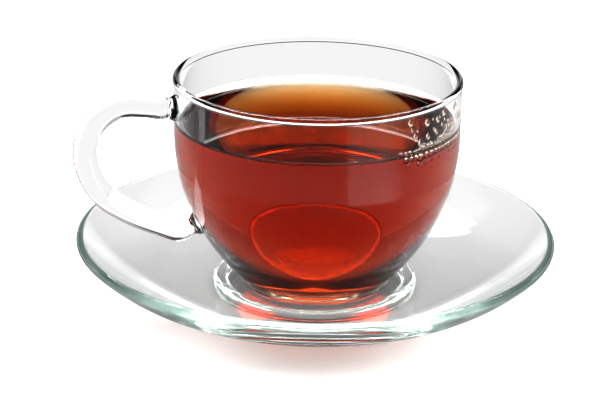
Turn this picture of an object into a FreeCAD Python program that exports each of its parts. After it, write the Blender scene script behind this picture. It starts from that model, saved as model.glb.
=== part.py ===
# Clear glass tea cup with a rod handle, filled with black tea, standing on its clear glass saucer.
#
# Millimetres, +Z up. The origin is the middle of the saucer's foot ring, on the table, and the handle
# points to -X. Each round piece is turned about Z from a half outline of (radius, height) points.
# The cup and its handle are one piece of glass: the bent rod is welded to the bowl at both ends.
import FreeCAD, Part
import os
from math import acos, atan2, cos, degrees, hypot, radians, sin, sqrt

# ---- saucer ----
SAUCER_RADIUS = 76.2        # to the outside of the lip
SAUCER_HEIGHT = 21.6        # table to the top of the lip
SAUCER_FLOOR = 3.8          # glass thickness in the well, where the cup stands
SAUCER_LIP = 3.0            # glass thickness at the rounded lip
WELL_CLEARANCE = 3.8        # free ring between the cup's foot and the ridge round it
RIDGE_WIDTH = 4.4           # the ridge round the well, and the foot ring under it
RIDGE_HEIGHT = 0.9
FOOT_RING_HEIGHT = 2.0
WELL_SHOULDER = 2.6         # flat glass outside the ridge, before the side starts to rise

# ---- cup ----
CUP_RADIUS = 45.0           # outside of the upright wall
CUP_HEIGHT = 67.4           # from the bottom of the cup's foot to the top of the rim
CUP_WALL = 1.6
STRAIGHT_WALL = 17.9        # upright part of the wall, below the rim
RIM_BEAD = 2.3              # diameter of the fire-polished rim
FOOT_RADIUS = 24.2
FOOT_HEIGHT = 2.3
FOOT_NECK = 0.5             # how far the bowl's root is cut in above the foot
FOOT_ROUND = 0.8            # rounded bottom edge of the foot
CUP_FLOOR = 3.2             # glass between the tea and the recess under the cup
RECESS_RADIUS = 19.5        # hollow under the cup, inside its foot
RECESS_DEPTH = 0.7
FLOOR_CORNER = 9.0          # radius of the bowl's inside corner, between floor and side

# ---- handle ----
ROD_RADIUS = 3.8
HANDLE_ROOM = 28.3          # from the wall out to the rod's centre line, at its furthest
HANDLE_BELOW_RIM = 20.7     # from the rim down to the height where the rod is furthest out
HANDLE_LOW_POINT = 14.9     # height above the foot at which the lower run aims at the bowl
UPPER_BEND = 14.0           # radius of the bend above that height
LOWER_BEND = 60.0           # radius of the last easy bend, before the lower run
UPPER_SLOPE = 7.0           # degrees that the upper run rises on its way out
LOWER_SLOPE = 23.0          # degrees that the lower run rises on its way out
EASY_BEND = 12.0            # degrees turned by the last easy bend
UPPER_NECK = 5.6            # from the wall to the end of the rod, at the upper weld
LOWER_NECK = 5.3            # and at the lower weld, measured square to the wall
UPPER_PAD = 4.8             # radius of the glass pressed on the wall at the upper weld
LOWER_PAD = 3.9
PAD_THICKNESS = 1.5
NECK_SHARE = 0.86           # a weld's neck, as a share of the rod's radius

# ---- tea ----
TEA_BELOW_RIM = 15.2        # from the top of the rim down to the flat surface
MENISCUS_WIDTH = 2.6        # the tea curves up to the wall over this width
MENISCUS_RISE = 1.8

# ---- derived ----
CUP_BASE = FOOT_RING_HEIGHT + SAUCER_FLOOR      # the well's floor, on which the cup stands
RIDGE_INNER = FOOT_RADIUS + WELL_CLEARANCE
RIDGE_OUTER = RIDGE_INNER + RIDGE_WIDTH
WELL_EDGE = RIDGE_OUTER + WELL_SHOULDER
SHOULDER = CUP_BASE + CUP_HEIGHT - STRAIGHT_WALL    # the upright wall ends here
RIM_TOP = CUP_BASE + CUP_HEIGHT
BEAD_RADIUS = RIM_BEAD / 2


def on_circle(centre, radius, angle):
    """The point of a circle at an angle in degrees, counted up from straight outwards."""
    return (centre[0] + radius * cos(radians(angle)), centre[1] + radius * sin(radians(angle)))


def line(a, b):
    return Part.LineSegment(FreeCAD.Vector(a[0], 0, a[1]), FreeCAD.Vector(b[0], 0, b[1])).toShape()


def arc(a, middle, b):
    points = [FreeCAD.Vector(p[0], 0, p[1]) for p in (a, middle, b)]
    return Part.Arc(*points).toShape()


def bulge(a, b, centre):
    """The arc from a to b about a centre, the short way round."""
    radius = hypot(a[0] - centre[0], a[1] - centre[1])
    half = ((a[0] + b[0]) / 2 - centre[0], (a[1] + b[1]) / 2 - centre[1])
    share = radius / hypot(*half)
    return arc(a, (centre[0] + half[0] * share, centre[1] + half[1] * share), b)


def turned(edges):
    """The solid that a closed outline of edges makes when it is turned about Z."""
    face = Part.Face(Part.Wire(Part.__sortEdges__(edges)))
    return face.revolve(FreeCAD.Vector(0, 0, 0), FreeCAD.Vector(0, 0, 1), 360)


def rising_arc(foot, top):
    """Centre and radius of the arc that leaves foot level and climbs outwards to top."""
    run = top[0] - foot[0]
    rise = top[1] - foot[1]
    radius = (run ** 2 + rise ** 2) / (2 * rise)
    return (foot[0], foot[1] + radius), radius


# ---- saucer: well, ridge, foot ring, and a side that sweeps up to a rounded lip ----

def make_saucer():
    lip = SAUCER_LIP / 2
    lip_centre = (SAUCER_RADIUS - lip, SAUCER_HEIGHT - lip)
    # the side's two faces both leave the well level, and meet the lip's round at its two flanks
    slope = atan2(lip_centre[1] - CUP_BASE, lip_centre[0] - WELL_EDGE) * 2
    under_end = (lip_centre[0] + lip * sin(slope), lip_centre[1] - lip * cos(slope))
    over_end = (lip_centre[0] - lip * sin(slope), lip_centre[1] + lip * cos(slope))
    under_start = (WELL_EDGE, FOOT_RING_HEIGHT)
    over_start = (WELL_EDGE, CUP_BASE)
    under_centre, _ = rising_arc(under_start, under_end)
    over_centre, _ = rising_arc(over_start, over_end)
    lip_tip = (lip_centre[0] + lip * cos(slope), lip_centre[1] + lip * sin(slope))
    ridge_top = ((RIDGE_INNER + RIDGE_OUTER) / 2, CUP_BASE + RIDGE_HEIGHT)
    edges = [
        line((0, FOOT_RING_HEIGHT), (RIDGE_INNER, FOOT_RING_HEIGHT)),
        line((RIDGE_INNER, FOOT_RING_HEIGHT), (RIDGE_INNER, 0)),
        line((RIDGE_INNER, 0), (RIDGE_OUTER, 0)),
        line((RIDGE_OUTER, 0), (RIDGE_OUTER, FOOT_RING_HEIGHT)),
        line((RIDGE_OUTER, FOOT_RING_HEIGHT), under_start),
        bulge(under_start, under_end, under_centre),
        arc(under_end, lip_tip, over_end),
        bulge(over_end, over_start, over_centre),
        line(over_start, (RIDGE_OUTER, CUP_BASE)),
        arc((RIDGE_OUTER, CUP_BASE), ridge_top, (RIDGE_INNER, CUP_BASE)),
        line((RIDGE_INNER, CUP_BASE), (0, CUP_BASE)),
        line((0, CUP_BASE), (0, FOOT_RING_HEIGHT)),
    ]
    return turned(edges)


# ---- bowl: foot, curved side, upright wall and rim bead ----

def side_centre():
    """Centre and radius of the bowl's outer side, upright at the shoulder and narrowing to its root."""
    root = (FOOT_RADIUS + FOOT_NECK, CUP_BASE + FOOT_HEIGHT)
    run = CUP_RADIUS - root[0]
    drop = SHOULDER - root[1]
    radius = (run ** 2 + drop ** 2) / (2 * run)
    return (CUP_RADIUS - radius, SHOULDER), radius


def inner_outline():
    """Edges of the bowl's inner face from the axis to the top of the straight wall, and its radius there."""
    centre, radius = side_centre()
    inner = radius - CUP_WALL
    floor = CUP_BASE + RECESS_DEPTH + CUP_FLOOR
    # the corner's round touches the floor and the side's arc from inside
    corner_z = floor + FLOOR_CORNER
    corner_r = centre[0] + sqrt((inner - FLOOR_CORNER) ** 2 - (corner_z - centre[1]) ** 2)
    corner = (corner_r, corner_z)
    side_angle = -degrees(acos((corner_r - centre[0]) / (inner - FLOOR_CORNER)))
    meets_side = on_circle(centre, inner, side_angle)
    meets_floor = (corner_r, floor)
    top = (CUP_RADIUS - CUP_WALL, SHOULDER)
    edges = [
        line((0, floor), meets_floor),
        arc(meets_floor, on_circle(corner, FLOOR_CORNER, (side_angle - 90) / 2), meets_side),
        arc(meets_side, on_circle(centre, inner, side_angle / 2), top),
    ]
    return edges, floor, top


def make_bowl():
    centre, radius = side_centre()
    inner_edges, floor, inner_top = inner_outline()
    root = (FOOT_RADIUS + FOOT_NECK, CUP_BASE + FOOT_HEIGHT)
    root_angle = degrees(atan2(root[1] - centre[1], root[0] - centre[0]))
    foot_top = (FOOT_RADIUS - FOOT_NECK, CUP_BASE + FOOT_HEIGHT - FOOT_NECK)
    foot_side = (FOOT_RADIUS, CUP_BASE + FOOT_ROUND)
    foot_under = (FOOT_RADIUS - FOOT_ROUND, CUP_BASE)
    foot_round = (FOOT_RADIUS - FOOT_ROUND, CUP_BASE + FOOT_ROUND)
    recess_edge = (RECESS_RADIUS, CUP_BASE)
    recess_top = (RECESS_RADIUS - RECESS_DEPTH, CUP_BASE + RECESS_DEPTH)
    # the bead sits on the middle of the wall and is a little thicker than it
    bead = (CUP_RADIUS - CUP_WALL / 2, RIM_TOP - BEAD_RADIUS)
    dip = sqrt(BEAD_RADIUS ** 2 - (CUP_WALL / 2) ** 2)
    outer_end = (CUP_RADIUS, bead[1] - dip)
    inner_end = (CUP_RADIUS - CUP_WALL, bead[1] - dip)
    edges = [
        line((0, CUP_BASE + RECESS_DEPTH), recess_top),
        line(recess_top, recess_edge),
        line(recess_edge, foot_under),
        arc(foot_under, on_circle(foot_round, FOOT_ROUND, -45), foot_side),
        line(foot_side, foot_top),
        line(foot_top, root),
        arc(root, on_circle(centre, radius, root_angle / 2), (CUP_RADIUS, SHOULDER)),
        line((CUP_RADIUS, SHOULDER), outer_end),
        arc(outer_end, (bead[0], RIM_TOP), inner_end),
        line(inner_end, inner_top),
        line((0, floor), (0, CUP_BASE + RECESS_DEPTH)),
    ]
    return turned(edges + inner_edges)


# ---- handle: one bent rod with a weld at each end, laid out as (distance from the axis, height) ----

def handle_path():
    """Edges of the rod's centre line and its two ends, from the upper weld round to the lower one."""
    centre, radius = side_centre()
    reach = CUP_RADIUS + HANDLE_ROOM
    furthest = RIM_TOP - HANDLE_BELOW_RIM
    upper = (reach - UPPER_BEND, furthest)
    upper_start = on_circle(upper, UPPER_BEND, 90 + UPPER_SLOPE)
    wall_end = CUP_RADIUS + UPPER_NECK
    fall = (upper_start[0] - wall_end) * sin(radians(UPPER_SLOPE)) / cos(radians(UPPER_SLOPE))
    upper_end = (wall_end, upper_start[1] - fall)
    # the middle bend is as large as brings the lower run onto the bowl at HANDLE_LOW_POINT
    square = (cos(radians(LOWER_SLOPE - 90)), sin(radians(LOWER_SLOPE - 90)))
    last = LOWER_SLOPE - 90 + EASY_BEND
    aim_z = CUP_BASE + HANDLE_LOW_POINT
    aim_r = centre[0] + sqrt(radius ** 2 - (aim_z - centre[1]) ** 2)
    turn = cos(radians(EASY_BEND))
    offset = aim_r * square[0] + aim_z * square[1]
    middle_bend = (offset - LOWER_BEND * (1 - turn) - reach * square[0] - furthest * square[1])
    middle_bend = middle_bend / (turn - square[0])
    middle = (reach - middle_bend, furthest)
    middle_end = on_circle(middle, middle_bend, last)
    lower = on_circle(middle_end, LOWER_BEND, last + 180)
    lower_end = on_circle(lower, LOWER_BEND, last - EASY_BEND)
    # the lower run stops where it is LOWER_NECK off the bowl
    along = (-cos(radians(LOWER_SLOPE)), -sin(radians(LOWER_SLOPE)))
    out = (lower_end[0] - centre[0], lower_end[1] - centre[1])
    half_b = out[0] * along[0] + out[1] * along[1]
    rest = out[0] ** 2 + out[1] ** 2 - (radius + LOWER_NECK) ** 2
    run = -half_b - sqrt(half_b ** 2 - rest)
    rod_end = (lower_end[0] + along[0] * run, lower_end[1] + along[1] * run)
    edges = [
        line(upper_end, upper_start),
        arc(upper_start, on_circle(upper, UPPER_BEND, 45), (reach, furthest)),
        arc((reach, furthest), on_circle(middle, middle_bend, last / 2), middle_end),
        arc(middle_end, on_circle(lower, LOWER_BEND, last - EASY_BEND / 2), lower_end),
        line(lower_end, rod_end),
    ]
    return edges, upper_end, rod_end


def ball(point, radius):
    return Part.makeSphere(radius, FreeCAD.Vector(point[0], 0, point[1]))


def rod_piece(point, toward, start, stop, radius, end_radius):
    """A round bar or cone on the line from point in direction toward, between two distances along it."""
    step = hypot(*toward)
    unit = FreeCAD.Vector(toward[0] / step, 0, toward[1] / step)
    base = FreeCAD.Vector(point[0], 0, point[1]) + unit * start
    if abs(radius - end_radius) < 1e-6:
        return Part.makeCylinder(radius, stop - start, base, unit)
    return Part.makeCone(radius, end_radius, stop - start, base, unit)


def weld(rod_end, wall_point, pad_radius):
    """Pad on the wall, and the narrower neck from it to the rounded end of the rod."""
    out = (rod_end[0] - wall_point[0], rod_end[1] - wall_point[1])
    neck = ROD_RADIUS * NECK_SHARE
    into_wall = -CUP_WALL
    pad = rod_piece(wall_point, out, into_wall, PAD_THICKNESS / 2, pad_radius, pad_radius)
    flare = rod_piece(wall_point, out, PAD_THICKNESS / 2, PAD_THICKNESS + ROD_RADIUS - neck, pad_radius, neck)
    stem = rod_piece(wall_point, out, PAD_THICKNESS, hypot(*out), neck, neck)
    return pad.fuse([flare, stem])


def make_handle():
    """The rod and its welds, on the +X side."""
    centre, radius = side_centre()
    edges, upper_end, rod_end = handle_path()
    path = Part.Wire(edges)
    slope = radians(UPPER_SLOPE)
    start = FreeCAD.Vector(upper_end[0], 0, upper_end[1])
    circle = Part.Circle(start, FreeCAD.Vector(cos(slope), 0, sin(slope)), ROD_RADIUS)
    rod = path.makePipeShell([Part.Wire(circle.toShape())], True, False)
    upper_wall = (CUP_RADIUS, upper_end[1] - UPPER_NECK * sin(slope) / cos(slope))
    away = hypot(rod_end[0] - centre[0], rod_end[1] - centre[1])
    share = radius / away
    lower_wall = (centre[0] + (rod_end[0] - centre[0]) * share, centre[1] + (rod_end[1] - centre[1]) * share)
    pieces = [ball(upper_end, ROD_RADIUS), ball(rod_end, ROD_RADIUS)]
    pieces.append(weld(upper_end, upper_wall, UPPER_PAD))
    pieces.append(weld(rod_end, lower_wall, LOWER_PAD))
    return rod.fuse(pieces)


def bowl_hollow():
    """Everything inside the bowl, up past the rim, which the welds may not enter."""
    inner_edges, floor, inner_top = inner_outline()
    above = RIM_TOP + RIM_BEAD
    edges = [
        line(inner_top, (inner_top[0], above)),
        line((inner_top[0], above), (0, above)),
        line((0, above), (0, floor)),
    ]
    return turned(edges + inner_edges)


def make_cup():
    handle = make_handle().cut(bowl_hollow())
    handle.rotate(FreeCAD.Vector(0, 0, 0), FreeCAD.Vector(0, 0, 1), 180)
    cup = make_bowl().fuse(handle).removeSplitter()
    return cup.Solids[0]


# ---- tea: fills the bowl to its level, and creeps up the wall in a meniscus ----

def make_tea():
    inner_edges, floor, inner_top = inner_outline()
    level = RIM_TOP - TEA_BELOW_RIM
    flat_edge = (inner_top[0] - MENISCUS_WIDTH, level)
    contact = (inner_top[0], level + MENISCUS_RISE)
    meniscus_centre, _ = rising_arc(flat_edge, contact)
    edges = [
        line(inner_top, contact),
        bulge(contact, flat_edge, meniscus_centre),
        line(flat_edge, (0, level)),
        line((0, level), (0, floor)),
    ]
    return turned(edges + inner_edges)


os.makedirs("parts", exist_ok=True)
for node, build in (("saucer", make_saucer), ("cup", make_cup), ("tea", make_tea)):
    solid = build()
    solid.exportStep("parts/" + node + ".step")
    print(node, round(solid.Volume / 1000, 2), "ml, valid", solid.isValid())
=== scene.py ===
import math
import random

import bmesh
import bpy
from mathutils import Matrix, Vector, noise


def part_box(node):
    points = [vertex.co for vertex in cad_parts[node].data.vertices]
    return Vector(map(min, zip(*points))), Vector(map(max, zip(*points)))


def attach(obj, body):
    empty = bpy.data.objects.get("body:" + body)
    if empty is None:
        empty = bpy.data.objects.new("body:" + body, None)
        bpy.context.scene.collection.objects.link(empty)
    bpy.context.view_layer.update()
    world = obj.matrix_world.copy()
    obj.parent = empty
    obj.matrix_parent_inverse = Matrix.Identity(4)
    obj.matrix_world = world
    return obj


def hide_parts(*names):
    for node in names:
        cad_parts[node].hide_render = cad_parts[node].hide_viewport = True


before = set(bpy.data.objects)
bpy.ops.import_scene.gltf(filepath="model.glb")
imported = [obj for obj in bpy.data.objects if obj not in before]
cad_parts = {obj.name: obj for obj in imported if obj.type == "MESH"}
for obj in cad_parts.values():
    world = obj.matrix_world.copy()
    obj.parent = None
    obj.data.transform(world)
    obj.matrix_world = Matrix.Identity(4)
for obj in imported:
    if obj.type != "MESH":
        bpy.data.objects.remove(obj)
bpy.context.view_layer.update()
MM = 0.001


# ---- Saucer ----
# Clear soda-lime glass, pressed in one piece and fire-polished: a flat well with a low ridge that keeps
# the cup in its middle, a foot ring under the ridge, and a side that sweeps up to a rounded lip.
_, saucer_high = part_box("saucer")
cup_low, cup_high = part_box("cup")
SAUCER_RADIUS = saucer_high.x
SAUCER_HEIGHT = saucer_high.z
CUP_STANDS_AT = cup_low.z       # height of the cup's foot over the table
AIR_GAP = 0.05 * MM             # the air that stays between two hard faces that touch
WELL_HEIGHT = CUP_STANDS_AT - AIR_GAP
FOOT_RING_HEIGHT = 2.0 * MM
LIP_ROUND = 1.5 * MM
RIDGE_INNER = 28.0 * MM
RIDGE_OUTER = 32.4 * MM
RIDGE_HEIGHT = 0.9 * MM
WELL_EDGE = 35.0 * MM           # the side starts to rise here
RING_EDGE = 0.5 * MM            # rounding of the foot ring's edges
ROUND_STEPS = 192               # faces round each turned piece
CREASE_ANGLE = 35               # edges sharper than this stay creased, in degrees
SAME_PLACE = 0.001 * MM         # corners nearer than this are one


def arc(centre, radius, start, stop, steps):
    """Points of a round stretch, as distance from the axis and height; angles in degrees up from outwards."""
    angles = [math.radians(start + (stop - start) * i / steps) for i in range(steps + 1)]
    return [(centre[0] + radius * math.cos(a), centre[1] + radius * math.sin(a)) for a in angles]


def rising_arc(foot, top, steps):
    """The arc that leaves foot level and climbs outwards to top."""
    run = top[0] - foot[0]
    rise = top[1] - foot[1]
    radius = (run ** 2 + rise ** 2) / (2 * rise)
    end = math.degrees(math.asin((top[1] - foot[1] - radius) / radius))
    return arc((foot[0], foot[1] + radius), radius, -90, end, steps)


def turned(name, outline):
    """A half outline that starts and ends on the axis, spun about it into a closed shell."""
    bm = bmesh.new()
    points = [bm.verts.new((r, 0, z)) for r, z in outline]
    edges = [bm.edges.new(pair) for pair in zip(points, points[1:])]
    bmesh.ops.spin(
        bm, geom=points + edges, cent=(0, 0, 0), axis=(0, 0, 1), angle=2 * math.pi,
        steps=ROUND_STEPS, use_merge=True, use_duplicate=False,
    )
    bmesh.ops.remove_doubles(bm, verts=bm.verts, dist=SAME_PLACE)
    bmesh.ops.recalc_face_normals(bm, faces=bm.faces)
    return finished(name, bm)


def finished(name, bm):
    """The piece that a bmesh makes, smooth apart from its real creases."""
    mesh = bpy.data.meshes.new(name)
    bm.to_mesh(mesh)
    bm.free()
    piece = bpy.data.objects.new(name, mesh)
    bpy.context.scene.collection.objects.link(piece)
    smooth(piece)
    return piece


def smooth(piece):
    for face in piece.data.polygons:
        face.use_smooth = True
    piece.data.set_sharp_from_angle(angle=math.radians(CREASE_ANGLE))


def saucer_outline():
    lip = (SAUCER_RADIUS - LIP_ROUND, SAUCER_HEIGHT - LIP_ROUND)
    slope = 2 * math.degrees(math.atan2(lip[1] - WELL_HEIGHT, lip[0] - WELL_EDGE))
    round_lip = arc(lip, LIP_ROUND, slope - 90, slope + 90, steps=20)
    under = rising_arc((WELL_EDGE, FOOT_RING_HEIGHT), round_lip[0], steps=48)
    over = rising_arc((WELL_EDGE, WELL_HEIGHT), round_lip[-1], steps=48)
    width = (RIDGE_OUTER - RIDGE_INNER) / 2
    bend = (width ** 2 + RIDGE_HEIGHT ** 2) / (2 * RIDGE_HEIGHT)
    spread = math.degrees(math.asin(width / bend))
    top = ((RIDGE_INNER + RIDGE_OUTER) / 2, WELL_HEIGHT + RIDGE_HEIGHT - bend)
    ridge = arc(top, bend, 90 - spread, 90 + spread, steps=12)
    ring_outer = arc((RIDGE_OUTER - RING_EDGE, RING_EDGE), RING_EDGE, -90, 0, steps=5)
    ring_inner = arc((RIDGE_INNER + RING_EDGE, RING_EDGE), RING_EDGE, 180, 270, steps=5)
    start = [(0, FOOT_RING_HEIGHT), (RIDGE_INNER, FOOT_RING_HEIGHT)]
    bottom = start + ring_inner + ring_outer + [(RIDGE_OUTER, FOOT_RING_HEIGHT)]
    side = under + round_lip[1:-1] + over[::-1]
    return bottom + side + ridge + [(0, WELL_HEIGHT)]


def clear_glass(name, ior, gloss, wave_scale, wave_height, tint, density):
    """Clear glass whose surface waves a little, as blown or pressed glass does, with its tint inside."""
    material = bpy.data.materials.new(name)
    material.use_nodes = True
    nodes = material.node_tree.nodes
    links = material.node_tree.links
    shader = nodes["Principled BSDF"]
    shader.inputs["Base Color"].default_value = (1, 1, 1, 1)
    shader.inputs["Roughness"].default_value = 0.0
    shader.inputs["IOR"].default_value = ior
    shader.inputs["Specular Tint"].default_value = (gloss, gloss, gloss, 1)
    shader.inputs["Transmission Weight"].default_value = 1.0
    place = nodes.new("ShaderNodeTexCoord")
    waves = nodes.new("ShaderNodeTexNoise")
    waves.inputs["Scale"].default_value = wave_scale
    waves.inputs["Detail"].default_value = 1.0
    links.new(place.outputs["Object"], waves.inputs["Vector"])
    bump = nodes.new("ShaderNodeBump")
    bump.inputs["Distance"].default_value = wave_height
    links.new(waves.outputs["Fac"], bump.inputs["Height"])
    links.new(bump.outputs["Normal"], shader.inputs["Normal"])
    inside = nodes.new("ShaderNodeVolumeAbsorption")
    inside.inputs["Color"].default_value = (*tint, 1)
    inside.inputs["Density"].default_value = density
    links.new(inside.outputs["Volume"], nodes["Material Output"].inputs["Volume"])
    return material


saucer = turned("saucer_glass", saucer_outline())
saucer.data.materials.append(clear_glass(
    "pressed_glass", ior=1.5, gloss=0.15, wave_scale=30, wave_height=0.02 * MM,
    tint=(0.45, 0.62, 0.56), density=7,
))
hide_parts("saucer")
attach(saucer, "root")


# ---- Cup ----
# Thin heat-resistant glass, blown in a mould: a short solid foot with a shallow recess under it, one curved
# side that turns upright below the rim, and a rim melted round in the flame.
RIM_TOP = cup_high.z
RIM_OUTER = cup_high.y          # outside of the rim bead
CUP_WALL = 1.6 * MM
BEAD_ROUND = 1.15 * MM
STRAIGHT_WALL = 17.9 * MM
FOOT_RADIUS = 24.2 * MM
FOOT_HEIGHT = 2.3 * MM
FOOT_NECK = 0.5 * MM
FOOT_ROUND = 0.8 * MM
RECESS_RADIUS = 19.5 * MM
RECESS_DEPTH = 0.7 * MM
FLOOR_CORNER = 9.0 * MM
LEVEL_SHARE = 0.96              # share of the inner floor that is shaded level before its corner starts
tea_low, tea_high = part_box("tea")
CUP_RADIUS = RIM_OUTER - BEAD_ROUND + CUP_WALL / 2
SHOULDER = RIM_TOP - STRAIGHT_WALL
SIDE_ROOT = (FOOT_RADIUS + FOOT_NECK, CUP_STANDS_AT + FOOT_HEIGHT)
SIDE_RUN = CUP_RADIUS - SIDE_ROOT[0]
SIDE_ROUND = (SIDE_RUN ** 2 + (SHOULDER - SIDE_ROOT[1]) ** 2) / (2 * SIDE_RUN)
SIDE_CENTRE = (CUP_RADIUS - SIDE_ROUND, SHOULDER)


def inner_side(inset, top):
    """The bowl's inner face from the axis up to a height, moved out into the wall by inset."""
    radius = SIDE_ROUND - CUP_WALL + inset
    floor = tea_low.z - inset
    corner_z = floor + FLOOR_CORNER
    corner_r = SIDE_CENTRE[0] + math.sqrt((radius - FLOOR_CORNER) ** 2 - (corner_z - SIDE_CENTRE[1]) ** 2)
    angle = math.degrees(math.acos((corner_r - SIDE_CENTRE[0]) / (radius - FLOOR_CORNER)))
    corner = arc((corner_r, corner_z), FLOOR_CORNER, -90, -angle, steps=16)
    side = arc(SIDE_CENTRE, radius, -angle, 0, steps=32)
    upright = CUP_RADIUS - CUP_WALL + inset
    flat = [(0, floor), (corner_r * LEVEL_SHARE, floor)]
    return flat + corner + side[1:] + [(upright, (SHOULDER + top) / 2), (upright, top)]


def cup_outline():
    root = math.degrees(math.atan2(SIDE_ROOT[1] - SIDE_CENTRE[1], SIDE_ROOT[0] - SIDE_CENTRE[0]))
    bead = (CUP_RADIUS - CUP_WALL / 2, RIM_TOP - BEAD_ROUND)
    dip = math.degrees(math.acos(CUP_WALL / 2 / BEAD_ROUND))
    foot = arc((FOOT_RADIUS - FOOT_ROUND, CUP_STANDS_AT + FOOT_ROUND), FOOT_ROUND, -90, 0, steps=8)
    neck = [(FOOT_RADIUS - FOOT_NECK, CUP_STANDS_AT + FOOT_HEIGHT - FOOT_NECK)]
    recess_top = (RECESS_RADIUS - RECESS_DEPTH, CUP_STANDS_AT + RECESS_DEPTH)
    recess = [(0, recess_top[1]), recess_top, (RECESS_RADIUS, CUP_STANDS_AT)]
    side = arc(SIDE_CENTRE, SIDE_ROUND, root, 0, steps=36)
    rim = arc(bead, BEAD_ROUND, -dip, 180 + dip, steps=28)
    middle = [(CUP_RADIUS, (SHOULDER + rim[0][1]) / 2)]
    inner = inner_side(0, rim[-1][1])
    return recess + foot + neck + side + middle + rim + inner[::-1][1:]


cup = turned("cup_glass", cup_outline())


# ---- Handle ----
# A round glass rod, bent hot in one plane and pressed on the bowl while soft. Each weld is a pad on the
# wall and a narrower, wrinkled neck, beyond which the rod regains its full thickness.
ROD_RADIUS = 3.8 * MM
HANDLE_REACH = -cup_low.x - ROD_RADIUS      # from the axis to the rod's centre line, at its furthest
FURTHEST = RIM_TOP - 20.7 * MM              # height of that place
UPPER_BEND = 14.0 * MM                      # radius of the bend at the top
LOWER_BEND = 60.0 * MM                      # radius of the easy bend before the lower run
EASY_BEND = 12.0                            # how far that one turns, in degrees
UPPER_SLOPE = 7.0                           # slopes of the two straight runs, in degrees
LOWER_SLOPE = 23.0
LOW_POINT = CUP_STANDS_AT + 14.9 * MM       # height at which the lower run aims at the bowl
UPPER_NECK = 5.6 * MM                       # length of each neck, from the wall
LOWER_NECK = 5.3 * MM
PAST_NECK = 0.6 * MM                        # from the upper neck to the first full ring of the rod
TIP_TURN = 3.0 * MM                         # length over which the lower tip turns square to the bowl
UPPER_RUN_SHARES = (0, 1 / 3, 2 / 3)        # places of the rings along the two straight runs
LOWER_RUN_SHARES = (0.33, 0.66, 0.92)
RING_STEPS = 24                             # faces round the rod
WRINKLE = 0.35 * MM                         # depth of the folds
WRINKLE_REACH = 6.5 * MM
WRINKLE_SCALE = (900, 260, 260)             # finer along the rod than round it
UPPER_FOLDS = (-CUP_RADIUS - UPPER_NECK / 2, 0, FURTHEST + UPPER_BEND - 1.5 * MM)
LOWER_FOLDS = (-CUP_RADIUS + 4 * MM, 0, LOW_POINT + 4.5 * MM)
# each weld from the wall outwards: distance from the wall and radius, in mm
UPPER_WELD = ((-0.8, 4.3), (0.0, 4.4), (0.7, 4.2), (1.5, 3.6), (2.4, 3.2), (3.4, 3.7), (4.4, 4.1), (5.2, 3.9))
LOWER_WELD = ((-0.7, 3.7), (0.0, 3.9), (0.6, 3.6), (1.3, 3.0), (2.2, 2.7), (3.1, 2.9), (4.1, 3.3))


def station(distance, height, heading, radius):
    """Puts a unit ring square to the rod at a point of its centre line; heading in degrees from outwards."""
    turn = Matrix.Rotation(math.radians(heading), 4, "Y")
    return Matrix.Translation((-distance, 0, height)) @ turn @ Matrix.Scale(radius, 4)


def bent(centre, radius, start, stop, steps):
    """Stations round a bend of the rod, from one angle to another, turning down and back to the bowl."""
    points = arc(centre, radius, start, stop, steps)
    headings = [start + (stop - start) * i / steps - 90 for i in range(steps + 1)]
    return [station(p[0], p[1], h, ROD_RADIUS) for p, h in zip(points, headings)]


def upper_run(bend_start):
    """Stations from the upper weld out to the start of the top bend."""
    slope = math.tan(math.radians(UPPER_SLOPE))
    first_ring = CUP_RADIUS + UPPER_NECK + PAST_NECK
    rings = [(CUP_RADIUS + out * MM, radius * MM) for out, radius in UPPER_WELD]
    rings += [(first_ring + (bend_start[0] - first_ring) * share, ROD_RADIUS) for share in UPPER_RUN_SHARES]
    return [
        station(here, bend_start[1] - (bend_start[0] - here) * slope, UPPER_SLOPE, radius)
        for here, radius in rings
    ]


def lower_run(bend_centre, bend_end):
    """Stations from the easy bend back to the bowl, where the run stops at the neck and turns square to it."""
    end = arc(bend_centre, LOWER_BEND, bend_end, 0, steps=1)[0]
    along = (-math.cos(math.radians(LOWER_SLOPE)), -math.sin(math.radians(LOWER_SLOPE)))
    out = (end[0] - SIDE_CENTRE[0], end[1] - SIDE_CENTRE[1])
    half = out[0] * along[0] + out[1] * along[1]
    rest = out[0] ** 2 + out[1] ** 2 - (SIDE_ROUND + LOWER_NECK) ** 2
    run = -half - math.sqrt(half ** 2 - rest)
    heading = LOWER_SLOPE + 180
    stations = []
    for share in LOWER_RUN_SHARES:
        here = (end[0] + along[0] * run * share, end[1] + along[1] * run * share)
        stations.append(station(*here, heading, ROD_RADIUS))
    tip = (end[0] + along[0] * run, end[1] + along[1] * run)
    away = math.atan2(tip[1] - SIDE_CENTRE[1], tip[0] - SIDE_CENTRE[0])
    facing = 180 + math.degrees(away)
    for off_wall, radius in LOWER_WELD[::-1]:
        reach = SIDE_ROUND + off_wall * MM
        here = (SIDE_CENTRE[0] + reach * math.cos(away), SIDE_CENTRE[1] + reach * math.sin(away))
        turned_by = min(1, (LOWER_NECK - off_wall * MM) / TIP_TURN)
        stations.append(station(*here, heading + (facing - heading) * turned_by, radius * MM))
    return stations


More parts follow.
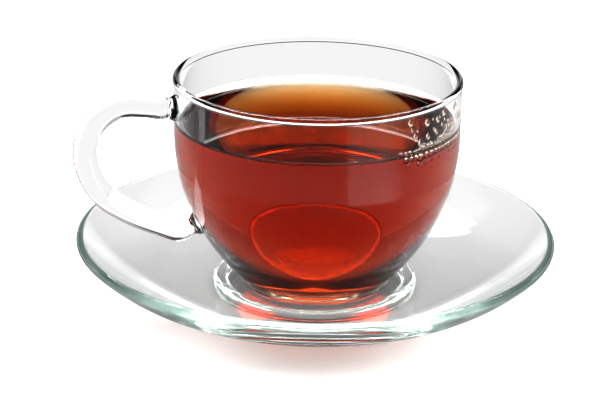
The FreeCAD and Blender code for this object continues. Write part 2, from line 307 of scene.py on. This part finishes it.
def handle_stations():
    """Stations of the whole rod, from its upper weld round to its lower one."""
    upper = (HANDLE_REACH - UPPER_BEND, FURTHEST)
    bend_start = arc(upper, UPPER_BEND, 90 + UPPER_SLOPE, 90, steps=1)[0]
    # the middle bend is as large as brings the lower run onto the bowl at LOW_POINT
    square = (math.sin(math.radians(LOWER_SLOPE)), -math.cos(math.radians(LOWER_SLOPE)))
    aim = SIDE_CENTRE[0] + math.sqrt(SIDE_ROUND ** 2 - (LOW_POINT - SIDE_CENTRE[1]) ** 2)
    turn = math.cos(math.radians(EASY_BEND))
    offset = aim * square[0] + LOW_POINT * square[1] - LOWER_BEND * (1 - turn)
    middle_bend = (offset - HANDLE_REACH * square[0] - FURTHEST * square[1]) / (turn - square[0])
    middle = (HANDLE_REACH - middle_bend, FURTHEST)
    last = LOWER_SLOPE - 90 + EASY_BEND
    joint = arc(middle, middle_bend, 0, last, steps=1)[1]
    lower = arc(joint, LOWER_BEND, last + 180, last, steps=1)[0]
    stations = upper_run(bend_start)
    stations += bent(upper, UPPER_BEND, 90 + UPPER_SLOPE, 0, steps=14)
    stations += bent(middle, middle_bend, 0, last, steps=12)[1:]
    stations += bent(lower, LOWER_BEND, last, last - EASY_BEND, steps=4)[1:]
    return stations + lower_run(lower, last - EASY_BEND)


def rod_through(stations):
    """A ring carried from station to station, closed at both ends."""
    bm = bmesh.new()
    upright = Matrix.Rotation(math.radians(90), 4, "Y")
    first = stations[0] @ upright
    bmesh.ops.create_circle(bm, cap_ends=True, radius=1, segments=RING_STEPS, matrix=first)
    ring = list(bm.edges)
    for before, after in zip(stations, stations[1:]):
        grown = bmesh.ops.extrude_edge_only(bm, edges=ring)["geom"]
        corners = [g for g in grown if isinstance(g, bmesh.types.BMVert)]
        ring = [g for g in grown if isinstance(g, bmesh.types.BMEdge)]
        bmesh.ops.transform(bm, matrix=after @ before.inverted(), verts=corners)
    bmesh.ops.contextual_create(bm, geom=ring)
    bmesh.ops.recalc_face_normals(bm, faces=bm.faces)
    return finished("handle_rod", bm)


def applied(piece, kind, **settings):
    """The piece with one modifier made part of its mesh."""
    modifier = piece.modifiers.new(kind.title(), kind)
    for key, value in settings.items():
        setattr(modifier, key, value)
    shaped = piece.evaluated_get(bpy.context.evaluated_depsgraph_get())
    piece.data = bpy.data.meshes.new_from_object(shaped)
    piece.modifiers.clear()
    return piece


def wrinkled(piece):
    """Presses uneven folds into the rod near its two welds."""
    welds = [Vector(place) for place in (UPPER_FOLDS, LOWER_FOLDS)]
    normals = [vertex.normal.copy() for vertex in piece.data.vertices]
    for vertex, normal in zip(piece.data.vertices, normals):
        near = min((vertex.co - weld).length for weld in welds)
        fade = max(0, 1 - near / WRINKLE_REACH)
        fold = noise.noise(vertex.co * Vector(WRINKLE_SCALE))
        vertex.co += normal * fold * WRINKLE * min(1, fade * 2)


rod = rod_through(handle_stations())
applied(rod, "SUBSURF", levels=2, render_levels=2)
wrinkled(rod)
applied(cup, "BOOLEAN", operation="UNION", solver="MANIFOLD", object=rod)
bpy.data.objects.remove(rod)
smooth(cup)
cup.data.materials.clear()
cup.data.materials.append(clear_glass(
    "blown_glass", ior=1.48, gloss=0.25, wave_scale=45, wave_height=0.012 * MM,
    tint=(0.6, 0.8, 0.8), density=2,
))
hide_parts("cup")
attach(cup, "root")


# ---- Tea ----
# Black tea, clear and red-brown. It fills the bowl and wets the wall, so its edge climbs the glass in a
# meniscus. The liquid reaches a hair into the wall, so that no air shows between them.
INTO_WALL = 0.2 * MM
MENISCUS_WIDTH = 2.6 * MM
MENISCUS_RISE = 1.8 * MM
TEA_LEVEL = tea_high.z - MENISCUS_RISE
# air has stayed at the edge between these two directions, in degrees round the axis
BUBBLE_SIDE = (-67.0, -15.0)
# rows of air bubbles in the liquid: depth of their tops, smallest and largest radius, gap, in mm
AIR_ROWS = ((-0.3, 0.85, 1.35, 0.1), (2.1, 0.4, 0.8, 1.6))
AIR_OFF_WALL = 0.05 * MM
AIR_SEED = 8
TEA_PER_CM = (0.84, 0.55, 0.29)     # share of light left after 10 mm of tea, in red, green and blue
DARKEST = 0.95                      # share of the liquid's density that blue, the most absorbed, takes


def on_wall(heading, height, off_wall):
    """A place off the upright part of the bowl's inner face, with its X axis pointing at the wall."""
    turn = Matrix.Rotation(math.radians(heading), 4, "Z")
    return turn @ Matrix.Translation((CUP_RADIUS - CUP_WALL - off_wall, 0, TEA_LEVEL + height))


def tea_outline():
    wall = inner_side(INTO_WALL, tea_high.z)
    edge = wall[-1][0] - INTO_WALL
    curve = rising_arc((edge - MENISCUS_WIDTH, TEA_LEVEL), (edge, tea_high.z), steps=14)
    return wall + curve[::-1] + [(0, TEA_LEVEL)]


def tea_liquid():
    """Water with the tea's colour inside it, the same all through."""
    loss = [-math.log(share) / (10 * MM) for share in TEA_PER_CM]
    density = max(loss) / DARKEST
    tint = [1 - part / density for part in loss]
    return clear_glass(
        "black_tea", ior=1.333, gloss=0.0, wave_scale=12, wave_height=0.0, tint=tint, density=density,
    )


def holes_blown(piece):
    """Hollows the liquid out where air bubbles sit against the wall, just under its edge."""
    bm = bmesh.new()
    bm.from_mesh(piece.data)
    dice = random.Random(AIR_SEED)
    for depth, small, large, gap in AIR_ROWS:
        heading = BUBBLE_SIDE[0]
        while heading < BUBBLE_SIDE[1]:
            radius = dice.uniform(small, large) * MM
            step = math.degrees((radius + gap * MM * dice.random()) / (CUP_RADIUS - CUP_WALL))
            drop = depth * MM + radius
            place = on_wall(heading + step, -drop, radius + AIR_OFF_WALL)
            air = bmesh.ops.create_icosphere(bm, subdivisions=3, radius=radius, matrix=place)
            faces = {face for vertex in air["verts"] for face in vertex.link_faces}
            bmesh.ops.reverse_faces(bm, faces=list(faces))
            heading += 2 * step
    bm.to_mesh(piece.data)
    bm.free()
    smooth(piece)


tea = turned("tea_liquid", tea_outline())
holes_blown(tea)
tea.data.materials.append(tea_liquid())
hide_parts("tea")
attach(tea, "root")


# ---- Bubbles ----
# What is left of the froth: rows of bubbles that float by the wall on one side, and drops that cling to the
# glass above them. A bubble is a skin of tea round a little air, and a drop is tea all through.
# each row: distance off the wall, height over the level, smallest and largest radius, gap, in mm
BUBBLE_ROWS = ((0.05, 1.7, 0.5, 1.0, 0.4), (2.2, 0.3, 0.5, 1.0, 0.6))
UNEVEN = 0.3                    # how far a row's heights stray, in mm
STRAY_BUBBLES = (-97.0, -88.0, -131.0, 35.0, 62.0)      # directions, in degrees round the axis
STRAY_SIZES = (0.4, 0.7)
STRAY_HEIGHT = 0.8 * MM
SKIN = 0.35                     # thickness of a bubble's skin, as a share of its radius
DROP_COUNT = 26
DROP_HEIGHTS = (4.0, 12.0)      # over the level, in mm
DROP_SIZES = (0.35, 1.1)
DROP_FLATNESS = 0.45            # depth off the wall, as a share of the width
DROP_TALLNESS = (1.0, 1.5)      # height, as a share of the width
FROTH_SEED = 3


def bubble(bm, place, radius):
    """A ball with a smaller one turned inside out in it, which leaves the skin."""
    for share in (1, 1 - SKIN):
        ball = bmesh.ops.create_icosphere(bm, subdivisions=2, radius=radius * share, matrix=place)
        if share < 1:
            faces = {face for vertex in ball["verts"] for face in vertex.link_faces}
            bmesh.ops.reverse_faces(bm, faces=list(faces))


def froth():
    """All the bubbles and drops in one mesh, from the waterline upwards."""
    bm = bmesh.new()
    dice = random.Random(FROTH_SEED)
    for off_wall, height, small, large, gap in BUBBLE_ROWS:
        heading = BUBBLE_SIDE[0]
        while heading < BUBBLE_SIDE[1]:
            radius = dice.uniform(small, large) * MM
            step = math.degrees((radius + gap * MM * dice.random()) / (CUP_RADIUS - CUP_WALL))
            lift = (height + dice.uniform(-UNEVEN, UNEVEN)) * MM
            bubble(bm, on_wall(heading + step, lift, off_wall * MM + radius), radius)
            heading += 2 * step
    for heading in STRAY_BUBBLES:
        radius = dice.uniform(*STRAY_SIZES) * MM
        bubble(bm, on_wall(heading, STRAY_HEIGHT, radius), radius)
    for _ in range(DROP_COUNT):
        radius = dice.uniform(*DROP_SIZES) * MM
        place = on_wall(dice.uniform(*BUBBLE_SIDE), dice.uniform(*DROP_HEIGHTS) * MM, 0)
        flat = Matrix.Diagonal((DROP_FLATNESS, 1, dice.uniform(*DROP_TALLNESS), 1))
        bmesh.ops.create_icosphere(bm, subdivisions=2, radius=radius, matrix=place @ flat)
    return finished("bubbles", bm)


bubbles = froth()
bubbles.data.materials.append(clear_glass(
    "tea_skin", ior=1.333, gloss=1.0, wave_scale=300, wave_height=0.02 * MM,
    tint=(1.0, 0.72, 0.45), density=500,
))
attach(bubbles, "root")


# ---- Floor ----
# A plain white studio table top, wide enough to reach past every view. Seen directly it is plain white, and
# seen through glass or in a reflection it is dimmer, so that clear glass stands out from it. Through glass it
# also glows, a painted glow, and shows a painted shadow under the cup. A patch at its front right glows in
# reflections only: a painted reflection of a white card.
FLOOR_RADIUS = 6.0
FLOOR_DIRECT = 0.92             # albedo
# views that passed at least so many faces of glass or tea: albedo, light that the table adds there as a
# painted glow, and the share of both that is left under the cup, where a painted shadow darkens the table
FLOOR_IN_GLASS = ((1, 0.06, 0.49, 0.35), (3, 0.72, 0.60, 0.10), (5, 0.37, 0.01, 1.0))
# the painted shadow under the cup fades out between these distances from the axis
PAINTED_SHADOW_UNDER_CUP = (26 * MM, 36 * MM)  # distances from the axis between which that share gives way
FLOOR_REFLECTED = 0.22
PAINTED_REFLECTION_GLOW = 3.0                 # brightness of a patch at the table's front right that glows in reflections only: a painted reflection of a white card
PAINTED_REFLECTION_START = 0.075              # the patch's nearest edge, from the cup's axis
PAINTED_REFLECTION_EDGE = 1.3                 # its near edge has faded in at this many times that nearest distance
PAINTED_REFLECTION_SIDES = (-82.0, -42.0)     # directions of its two sides, in degrees round the axis
# where each side starts and stops fading, in radians round from it
PAINTED_REFLECTION_SIDE_FADES = ((-0.02, 0.02), (-0.25, 0.1))


def math_node(tree, operation, a, b=None):
    node = tree.nodes.new("ShaderNodeMath")
    node.operation = operation
    for socket, value in zip(node.inputs, (a, b)):
        if isinstance(value, bpy.types.NodeSocket):
            tree.links.new(value, socket)
        elif value is not None:
            socket.default_value = value
    return node.outputs[0]


def mixed(tree, factor, first, second):
    """first where the factor is 0, second where it is 1."""
    node = tree.nodes.new("ShaderNodeMix")
    for socket, value in zip(node.inputs, (factor, None, first, second)):
        if isinstance(value, bpy.types.NodeSocket):
            tree.links.new(value, socket)
        elif value is not None:
            socket.default_value = value
    return node.outputs[0]


def ramp(tree, value, start, end, low, high):
    """low below start, high above end, smooth between them."""
    node = tree.nodes.new("ShaderNodeMapRange")
    node.interpolation_type = "SMOOTHSTEP"
    for name, number in (("From Min", start), ("From Max", end), ("To Min", low), ("To Max", high)):
        node.inputs[name].default_value = number
    tree.links.new(value, node.inputs["Value"])
    return node.outputs[0]


def parts_of(tree, vector):
    node = tree.nodes.new("ShaderNodeSeparateXYZ")
    tree.links.new(vector, node.inputs["Vector"])
    return node.outputs


def from_axis(tree, place):
    """Distance from the cup's axis."""
    x, y, _ = parts_of(tree, place)
    squares = [math_node(tree, "MULTIPLY", part, part) for part in (x, y)]
    return math_node(tree, "SQRT", math_node(tree, "ADD", *squares))


def painted_reflection_mask(tree, place):
    """1 on the patch of table that glows as a painted reflection, 0 round it."""
    x, y, _ = parts_of(tree, place)
    heading = math_node(tree, "ARCTAN2", y, x)
    mask = ramp(tree, from_axis(tree, place), PAINTED_REFLECTION_START, PAINTED_REFLECTION_START * PAINTED_REFLECTION_EDGE, 0, 1)
    for side, (start, end), levels in zip(PAINTED_REFLECTION_SIDES, PAINTED_REFLECTION_SIDE_FADES, ((0, 1), (1, 0))):
        middle = math.radians(side)
        mask = math_node(tree, "MULTIPLY", mask, ramp(tree, heading, middle + start, middle + end, *levels))
    return mask


def faces_passed(tree, count):
    """1 in views that passed at least so many faces of glass or tea."""
    path = tree.nodes.new("ShaderNodeLightPath")
    return math_node(tree, "GREATER_THAN", path.outputs["Transmission Depth"], count - 0.5)


def studio_floor():
    bm = bmesh.new()
    bmesh.ops.create_circle(bm, cap_ends=True, radius=FLOOR_RADIUS, segments=96)
    bmesh.ops.translate(bm, verts=bm.verts, vec=(0, 0, -AIR_GAP))
    floor = finished("floor", bm)
    material = bpy.data.materials.new("white_table")
    material.use_nodes = True
    tree = material.node_tree
    shader = tree.nodes["Principled BSDF"]
    shader.inputs["Roughness"].default_value = 0.9
    shader.inputs["Specular IOR Level"].default_value = 0.0
    place = tree.nodes.new("ShaderNodeTexCoord").outputs["Object"]
    path = tree.nodes.new("ShaderNodeLightPath")
    mirrored = math_node(tree, "GREATER_THAN", path.outputs["Glossy Depth"], 0.5)
    # the patch glows only in views mirrored in the glass: a painted reflection of a white card
    painted_reflection = math_node(tree, "MULTIPLY", painted_reflection_mask(tree, place), PAINTED_REFLECTION_GLOW)
    white = mixed(tree, mirrored, FLOOR_DIRECT, FLOOR_REFLECTED)
    glow = math_node(tree, "MULTIPLY", mirrored, painted_reflection)
    for faces, albedo, added, share in FLOOR_IN_GLASS:
        # under the cup the albedo and the glow are cut to a share: a painted shadow on the table
        left = ramp(tree, from_axis(tree, place), *PAINTED_SHADOW_UNDER_CUP, share, 1)
        white = mixed(tree, faces_passed(tree, faces), white, math_node(tree, "MULTIPLY", left, albedo))
        glow = mixed(tree, faces_passed(tree, faces), glow, math_node(tree, "MULTIPLY", left, added))
    tree.links.new(white, shader.inputs["Base Color"])
    shader.inputs["Emission Color"].default_value = (1, 1, 1, 1)
    tree.links.new(glow, shader.inputs["Emission Strength"])
    floor.data.materials.append(material)
    return floor


floor = studio_floor()


# ---- Light ----
# A bright studio: a soft box high behind the cup, a wide dim one overhead, white walls up to just over the
# horizon, and a dark room above them, which draws the dark lines in the glass.
ROOM = 0.04
HORIZON = 0.7                   # brightness of the low white walls
# room and walls in views that passed at least so many faces of glass or tea
ROOM_IN_GLASS = ((1, 0.35, 0.75), (3, 0.15, 0.75), (5, 0.04, 0.70))
WALL_TOP = (8, 15)              # elevations between which they fade out
# each soft box: azimuth and elevation of its middle in degrees, half width and half height as tangents of
# their angles, and brightness
SOFT_BOXES = (
    (76, 62, 0.45, 0.32, 14.0),
    (76, 90, 0.9, 0.9, 1.1),
)
# the soft boxes are dimmed in views that passed so many faces and were mirrored so many times in the glass
BOXES_DIMMED_FROM = (3, 2)
BOXES_DIMMED = 0.14
BOX_EDGE = 0.08                 # how softly a box's edge fades, as a share of its half width
# a dark cloth, given like a soft box, hangs behind and keeps reflections off the tea's surface
DARK_CLOTH = (76, 21, 0.25, 0.18, 1.0)


def soft_box(tree, direction, azimuth, elevation, half_width, half_height, brightness):
    """Light from one soft box: its brightness where the direction falls inside it, fading at its edge."""
    spin = tree.nodes.new("ShaderNodeVectorRotate")
    spin.rotation_type = "Z_AXIS"
    spin.inputs["Angle"].default_value = -math.radians(azimuth)
    tree.links.new(direction, spin.inputs["Vector"])
    tip = tree.nodes.new("ShaderNodeVectorRotate")
    tip.rotation_type = "Y_AXIS"
    tip.inputs["Angle"].default_value = math.radians(elevation)
    tree.links.new(spin.outputs["Vector"], tip.inputs["Vector"])
    parts = parts_of(tree, tip.outputs["Vector"])
    # what lies behind is pushed far to the side of the box, so that it gets no light
    ahead = math_node(tree, "MAXIMUM", parts["X"], 0.001)
    inside = brightness
    for axis, half in (("Y", half_width), ("Z", half_height)):
        offset = math_node(tree, "ABSOLUTE", math_node(tree, "DIVIDE", parts[axis], ahead))
        edge = (half * (1 - BOX_EDGE), half * (1 + BOX_EDGE))
        inside = math_node(tree, "MULTIPLY", ramp(tree, offset, *edge, 1, 0), inside)
    return inside


def studio_light():
    world = bpy.data.worlds.new("studio")
    world.use_nodes = True
    bpy.context.scene.world = world
    tree = world.node_tree
    place = tree.nodes.new("ShaderNodeTexCoord")
    heading = place.outputs["Generated"]
    low, high = (math.sin(math.radians(angle)) for angle in WALL_TOP)
    walls = ramp(tree, parts_of(tree, heading)["Z"], low, high, 1, 0)
    room, horizon = ROOM, HORIZON
    for faces, dim, bright in ROOM_IN_GLASS:
        room = mixed(tree, faces_passed(tree, faces), room, dim)
        horizon = mixed(tree, faces_passed(tree, faces), horizon, bright)
    room = mixed(tree, soft_box(tree, heading, *DARK_CLOTH), room, ROOM)
    total = math_node(tree, "MAXIMUM", math_node(tree, "MULTIPLY", walls, horizon), room)
    path = tree.nodes.new("ShaderNodeLightPath")
    led = math_node(tree, "GREATER_THAN", path.outputs["Glossy Depth"], BOXES_DIMMED_FROM[1] - 0.5)
    led = math_node(tree, "MULTIPLY", led, faces_passed(tree, BOXES_DIMMED_FROM[0]))
    lit = mixed(tree, led, 1.0, BOXES_DIMMED)
    for box in SOFT_BOXES:
        light = math_node(tree, "MULTIPLY", soft_box(tree, heading, *box), lit)
        total = math_node(tree, "ADD", light, total)
    # straight views past the floor's edge see plain white
    total = math_node(tree, "MAXIMUM", total, path.outputs["Is Camera Ray"])
    tree.links.new(total, tree.nodes["Background"].inputs["Strength"])
    tree.nodes["Background"].inputs["Color"].default_value = (1, 1, 1, 1)


studio_light()


# ---- Camera ----
# A long lens, a little above the table, with the cup's handle on the left and turned slightly nearer.
CAMERA_DISTANCE = 0.620         # level distance from the cup's axis
CAMERA_HEIGHT = 0.263
CAMERA_TURN = -13.5             # degrees round the axis, from square to the handle
CAMERA_PITCH = 20.58
CAMERA_YAW = 0.29
CAMERA_ROLL = 0.9
CAMERA_LENS = 122.35


def place_camera():
    data = bpy.data.cameras.new("camera")
    data.lens = CAMERA_LENS
    data.sensor_width = 36
    data.clip_start = 0.01
    camera = bpy.data.objects.new("camera", data)
    bpy.context.scene.collection.objects.link(camera)
    turn = Matrix.Rotation(math.radians(CAMERA_TURN), 4, "Z")
    place = Matrix.Translation((0, -CAMERA_DISTANCE, CAMERA_HEIGHT))
    yaw = Matrix.Rotation(math.radians(CAMERA_YAW), 4, "Z")
    pitch = Matrix.Rotation(math.radians(90 - CAMERA_PITCH), 4, "X")
    roll = Matrix.Rotation(math.radians(CAMERA_ROLL), 4, "Z")
    camera.matrix_world = turn @ place @ yaw @ pitch @ roll
    bpy.context.scene.camera = camera


place_camera()


# ---- Exposure ----
# The plain white table comes out at full white, with a firm contrast. The glass and the tea need many
# bounces, because light is led a long way inside the saucer's side and lip.
scene = bpy.context.scene
scene.view_settings.view_transform = "Standard"
scene.view_settings.look = "High Contrast"
scene.cycles.max_bounces = 64
scene.cycles.transmission_bounces = 64
scene.cycles.glossy_bounces = 64
scene.cycles.diffuse_bounces = 4
scene.cycles.use_denoising = True
